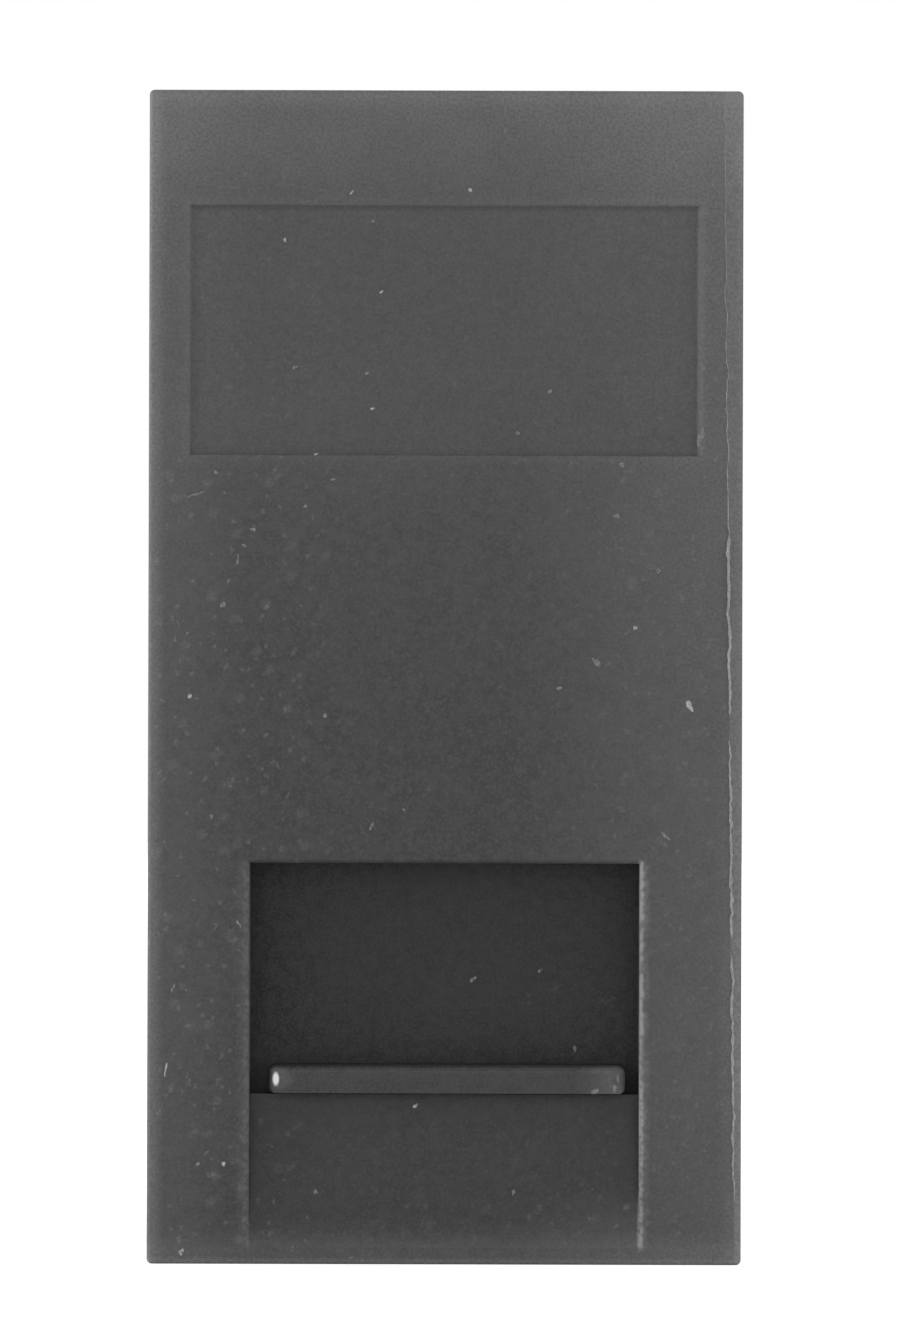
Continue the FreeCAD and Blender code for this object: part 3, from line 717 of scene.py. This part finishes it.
# %% Metal finishes
def worked_metal(name, colour, stain, roughness, line_size, stretch=(1, 1, 1)):
    """Metal with fine lines along its working direction and slight stains."""
    material, tree, shader = finish_named(name)
    lines = grain(tree, line_size, stretch=stretch)
    stained = between(tree, grain(tree, 1.2 * mm, 3.0), 0.45, 0.75)
    tree.links.new(tint(tree, stained, colour, stain), shader.inputs["Base Color"])
    dull = between(tree, lines, 0.2, 0.8, roughness - 0.08, roughness + 0.1)
    tree.links.new(dull, shader.inputs["Roughness"])
    shader.inputs["Metallic"].default_value = 1.0
    relief(tree, shader, [(lines, 2e-6)])
    return material


gold = worked_metal("contact_plating", (0.86, 0.64, 0.28), stain=(0.70, 0.50, 0.22),
                    roughness=0.28, line_size=0.05 * mm, stretch=(1, 0.1, 1))
tin = worked_metal("terminal_metal", (0.66, 0.65, 0.62), stain=(0.52, 0.51, 0.48),
                   roughness=0.36, line_size=0.06 * mm, stretch=(1, 0.15, 1))
steel_wire = worked_metal("spring_steel", (0.60, 0.60, 0.61), stain=(0.44, 0.44, 0.45),
                          roughness=0.30, line_size=0.04 * mm)
zinc = worked_metal("screw_steel", (0.62, 0.62, 0.60), stain=(0.48, 0.47, 0.43),
                    roughness=0.34, line_size=0.08 * mm)
dress(gold, *[f"contact_{i}" for i in range(1, 7)])
dress(tin, *[f"idc_terminal_{i}" for i in range(1, 7)])
dress(zinc, "cover_screws")

# %% Finish of the board
deep_green = (0.010, 0.085, 0.030)
light_green = (0.016, 0.12, 0.045)
board_finish, board_tree, board_shader = finish_named("board_laminate")
weave = grain(board_tree, 0.4 * mm)
threads = between(board_tree, weave, 0.3, 0.7)
lacquer = tint(board_tree, threads, deep_green, light_green)
board_tree.links.new(lacquer, board_shader.inputs["Base Color"])
board_shader.inputs["Roughness"].default_value = 0.28
relief(board_tree, board_shader, [(weave, 3e-6)])
dress(board_finish, "circuit_board")

# %% [markdown]
# ## The spring
#
# A coil is a small ring spun round an axis while it climbs. The real spring has a closed coil at
# each end, so the spin is done in three stages: slow, fast and slow climb. When the shutter is
# lifted the real coil has to shorten; this mesh is not squashed.

# %% Spring
spring_low, spring_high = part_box("shutter_spring")
wire_radius = 0.15 * mm
wire_sides = 10
coil_radius = (spring_high.x - spring_low.x) / 2 - wire_radius
axis_y = spring_low.y + coil_radius + wire_radius
closed_turns = 1.25
open_turns = 11
steps_per_turn = 28
spring_height = spring_high.z - spring_low.z
closed_climb = 2 * wire_radius * closed_turns
open_climb = spring_height - 2 * wire_radius - 2 * closed_climb
closed_end = (closed_turns, closed_climb)

coil_form = bmesh.new()
bmesh.ops.create_circle(coil_form, segments=wire_sides, radius=wire_radius, cap_ends=True)
upright = Matrix.Rotation(math.radians(90), 4, "X")
start = Matrix.Translation((coil_radius, axis_y, spring_low.z + wire_radius))
bmesh.ops.transform(coil_form, matrix=start @ upright, verts=coil_form.verts)
wire_end = coil_form.faces[:]
for turns, climb in (closed_end, (open_turns, open_climb), closed_end):
    steps = round(turns * steps_per_turn)
    spun = bmesh.ops.spin(coil_form, geom=wire_end, cent=(0, axis_y, 0), axis=(0, 0, 1),
                          dvec=(0, 0, climb / steps), angle=turns * math.tau, steps=steps)
    wire_end = [part for part in spun["geom_last"] if isinstance(part, bmesh.types.BMFace)]
bmesh.ops.recalc_face_normals(coil_form, faces=coil_form.faces)


# %% Put a piece in the scene
def put(name, form, material, body):
    """Object from a bmesh, dressed and riding on a body."""
    mesh = bpy.data.meshes.new(name)
    form.to_mesh(mesh)
    form.free()
    mesh.materials.append(material)
    piece = bpy.data.objects.new(name, mesh)
    scene.collection.objects.link(piece)
    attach(piece, body)
    print(f"{name}: {len(mesh.polygons)} faces")
    return piece


coil = put("shutter_spring_coil", coil_form, steel_wire, "socket")
coil.data.shade_smooth()
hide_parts("shutter_spring")
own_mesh(coil)

# %% [markdown]
# ## Crumbs
#
# Besides the smudges, which are painted, crumbs and short fibres lie on the front, most of them on
# the left. Each crumb is a clump of four small balls, flattened and pulled long, and no two balls
# are alike, because their points are pushed in and out by chance. A ray from the camera through
# the place of a crumb on the face finds the surface that carries it, so it lies flat in the label
# recess, on the ramp or on the shutter, not in the air.

# %% Places of the crumbs
# x and z on the face in mm, length and width in mm, lean in degrees
bright_crumbs = [
    (-1.2, -18.0, 0.25, 0.17, 70), (-10.75, -0.8, 0.25, 0.15, 70), (-2.75, 16.2, 0.2, 0.12, 40),
    (7.95, 2.1, 0.25, 0.2, 30), (1.0, 20.5, 0.2, 0.17, 40), (-11.05, -24.2, 0.25, 0.2, 80),
    (-4.0, 20.4, 0.25, 0.12, 40), (-5.4, 9.4, 0.4, 0.15, 45), (-9.3, -20.55, 0.25, 0.15, 70),
    (-3.1, 11.3, 0.2, 0.13, 0), (-11.7, -16.55, 0.6, 0.13, 85), (10.25, -1.2, 0.55, 0.25, 110),
    (-6.8, 18.35, 0.18, 0.15, 50),
]
pale_crumbs = [
    (-8.5, 5.5, 0.3, 0.15, 150), (-3.9, -24.4, 0.18, 0.12, 0), (2.4, 22.95, 0.22, 0.12, 30),
    (-10.45, 7.7, 0.75, 0.08, 23), (-5.05, -1.6, 0.2, 0.15, 80), (7.2, 6.8, 0.3, 0.15, 15),
    (-11.4, -13.1, 0.3, 0.12, 75), (-3.35, 12.8, 0.2, 0.12, 15), (8.95, 4.5, 0.2, 0.18, 130),
    (-8.75, 4.95, 0.5, 0.1, 92), (2.9, -21.7, 0.3, 0.15, 60), (-1.75, -5.55, 0.2, 0.12, 140),
    (9.25, -6.65, 0.4, 0.15, 130), (-9.8, -5.9, 0.3, 0.12, 85), (-8.65, -10.4, 0.35, 0.1, 120),
    (3.05, 10.3, 0.25, 0.15, 40), (-10.85, 1.8, 0.2, 0.1, 65), (-9.65, 8.6, 0.15, 0.15, 0),
    (7.4, 9.0, 0.4, 0.2, 127), (4.4, 12.05, 0.2, 0.15, 30), (-6.35, 13.05, 0.2, 0.12, 20),
    (10.7, 10.0, 0.9, 0.25, 88), (-8.1, 6.2, 0.25, 0.15, 155), (-10.35, -20.5, 0.2, 0.15, 60),
    (-3.1, 19.15, 0.15, 0.12, 40), (-4.75, 8.3, 0.28, 0.1, 25), (4.8, -0.45, 0.25, 0.2, 140),
    (6.35, 0.7, 0.5, 0.2, 130), (-3.1, -6.2, 0.4, 0.15, 65), (-9.35, 3.0, 0.35, 0.2, 70),
    (-5.4, -21.65, 0.25, 0.15, 100), (-5.9, 7.2, 0.2, 0.12, 35),
]
shutter_crumbs = [
    (4.0, -12.3, 0.22, 0.15, 50), (1.2, -12.7, 0.3, 0.14, 45), (5.5, -15.6, 0.3, 0.17, 80),
    (7.15, -17.3, 0.4, 0.25, 60), (6.4, -17.35, 0.5, 0.2, 48), (7.3, -16.9, 0.4, 0.1, 90),
]
print(len(bright_crumbs) + len(pale_crumbs) + len(shutter_crumbs), "crumbs")


# %% Finishes of the crumbs
def dust(name, dark, pale):
    """Dull grey dust of uneven tone."""
    material, tree, shader = finish_named(name)
    lint = between(tree, grain(tree, 0.12 * mm), 0.3, 0.7)
    tone = tint(tree, lint, (dark, dark, 0.97 * dark), (pale, pale, 0.97 * pale))
    tree.links.new(tone, shader.inputs["Base Color"])
    shader.inputs["Roughness"].default_value = 0.9
    return material


bright_dust = dust("bright_dust", 0.24, 0.42)
pale_dust = dust("pale_dust", 0.12, 0.20)

# %% Lay the crumbs
bits_per_crumb = 4
bit_size = (0.45, 0.75)
bit_slide = (-0.35, 0.35)
bit_lumps = (0.85, 1.15)


def front_of(node):
    """Search tree of a piece's surface, for rays."""
    mesh = nodes[node].data
    return BVHTree.FromPolygons([v.co for v in mesh.vertices], [p.vertices for p in mesh.polygons])


def lay_crumbs(surface, crumbs, thickness, seed):
    """Clumps of flattened, ragged bits on a surface, under their places on the face."""
    chance = random.Random(seed)
    form = bmesh.new()
    eye = camera.matrix_world.translation
    for x, z, length, width, lean in crumbs:
        sight = (Vector((x * mm, face_y, z * mm)) - eye).normalized()
        hit, normal = surface.ray_cast(eye, sight)[:2]
        lie = Vector((0, -1, 0)).rotation_difference(normal).to_matrix().to_4x4()
        turn = Matrix.Translation(hit) @ lie @ Matrix.Rotation(math.radians(-lean), 4, "Y")
        for _ in range(bits_per_crumb):
            ball = bmesh.ops.create_icosphere(form, subdivisions=1, radius=0.5)["verts"]
            for vert in ball:
                vert.co *= chance.uniform(*bit_lumps)
            share = chance.uniform(*bit_size)
            shape = Matrix.Diagonal((share * length * mm, thickness, share * width * mm, 1))
            along = chance.uniform(*bit_slide) * length * mm
            beside = chance.uniform(*bit_slide) * width * mm
            shift = Matrix.Translation((along, 0, beside))
            bmesh.ops.transform(form, matrix=turn @ shift @ shape, verts=ball)
    return form


housing_front = front_of("front_housing")
shutter_front = front_of("shutter")
face_dust = lay_crumbs(housing_front, pale_crumbs, thickness=0.03 * mm, seed=4)
put("face_dust", face_dust, pale_dust, "socket")
face_crumbs = lay_crumbs(housing_front, bright_crumbs, thickness=0.04 * mm, seed=8)
put("face_crumbs", face_crumbs, bright_dust, "socket")
shutter_dust = lay_crumbs(shutter_front, shutter_crumbs, thickness=0.03 * mm, seed=5)
put("shutter_dust", shutter_dust, pale_dust, "shutter")

# %% [markdown]
# ## The ragged edge
#
# The blade that pared the right edge left a burr, a thin crest of torn plastic. It is a slender
# bar along the line where the cut meets the face. Cut across many times, its rings are pushed
# about by noise, so it swells and drifts as the real crest does. A short list says how thick it is
# at which height: a hair at the top, full in the middle, and broken off in two places.

# %% Burr
burr_thickness = 0.13 * mm
burr_cuts = 600
# height in mm and share of the full thickness
burr_swell = [
    (24.2, 0.08), (23.8, 0.12), (6.3, 0.30), (5.8, 1.0), (-1.3, 0.9),
    (-1.6, 0.05), (-2.5, 0.05), (-2.8, 0.5), (-5.0, 0.9), (-10.7, 0.9),
    (-11.0, 0.05), (-11.6, 0.05), (-11.9, 0.9), (-21.2, 0.7), (-22.0, 0.05),
]


def swell_at(z):
    """Thickness of the crest at one height, between the places of the list."""
    for (above, first), (below, second) in zip(burr_swell, burr_swell[1:]):
        if z >= below * mm:
            share = (above * mm - z) / ((above - below) * mm)
            return first + (second - first) * min(1.0, max(0.0, share))
    return burr_swell[-1][1]


def wander(z, pace, lane):
    """Smooth noise along the height, faster at a higher pace; each lane has its own noise."""
    return noise.noise((lane, 0, pace * z / mm))


burr_form = bmesh.new()
bmesh.ops.create_cube(burr_form, size=1.0)
burr_top = burr_swell[0][0] * mm
burr_foot = burr_swell[-1][0] * mm
long_edges = [edge for edge in burr_form.edges if abs(edge.verts[0].co.z - edge.verts[1].co.z) > 0.5]
bmesh.ops.subdivide_edges(burr_form, edges=long_edges, cuts=burr_cuts, use_grid_fill=True)
for vert in burr_form.verts:
    z = burr_foot + (vert.co.z + 0.5) * (burr_top - burr_foot)
    line = pared_line - pared_slope * z
    swell = burr_thickness * swell_at(z) * max(0.3, 0.9 + 0.9 * wander(z, pace=2.4, lane=0))
    drift = 0.09 * mm * wander(z, pace=0.9, lane=7) + 0.05 * mm * wander(z, pace=3.5, lane=3)
    vert.co = Vector((line + drift + vert.co.x * swell, face_y + vert.co.y * swell, z))
bmesh.ops.recalc_face_normals(burr_form, faces=burr_form.faces)

burr_finish = moulded_plastic("burr_plastic", grey(0.25), roughness=0.55,
                              grain_size=0.08 * mm, grain_depth=4e-6)
put("edge_burr", burr_form, burr_finish, "socket")

# %% [markdown]
# ## Numbers by the terminals
#
# The wires are punched down in order, so each slot has its number beside it, raised from the
# cover. Text starts as a curve. It is made a mesh first and then laid on the cover's back, where
# right and left change places because one looks at it from behind.

# %% Numbers
number_height = 2.3 * mm
letter_size = 1.4 * number_height
number_rise = 0.15 * mm
number_aside = 2.3 * mm
slot_pitch = 5.0 * mm
cover_back = 15.5 * mm

number_form = bmesh.new()
for number in range(1, 7):
    x = -number_aside if number <= 3 else number_aside
    z = (1 - (number - 1) % 3) * slot_pitch
    curve = bpy.data.curves.new("number", "FONT")
    curve.body = str(number)
    curve.size = letter_size
    curve.extrude = number_rise
    curve.align_x = "CENTER"
    curve.align_y = "CENTER"
    written = bpy.data.objects.new("number", curve)
    digit = bpy.data.meshes.new_from_object(written)
    behind = Matrix(((-1, 0, 0, x), (0, 0, 1, cover_back), (0, 1, 0, z), (0, 0, 0, 1)))
    digit.transform(behind)
    number_form.from_mesh(digit)
    bpy.data.objects.remove(written)
bmesh.ops.remove_doubles(number_form, verts=number_form.verts, dist=1e-7)
bmesh.ops.recalc_face_normals(number_form, faces=number_form.faces)
put("terminal_numbers", number_form, cover_finish, "socket")
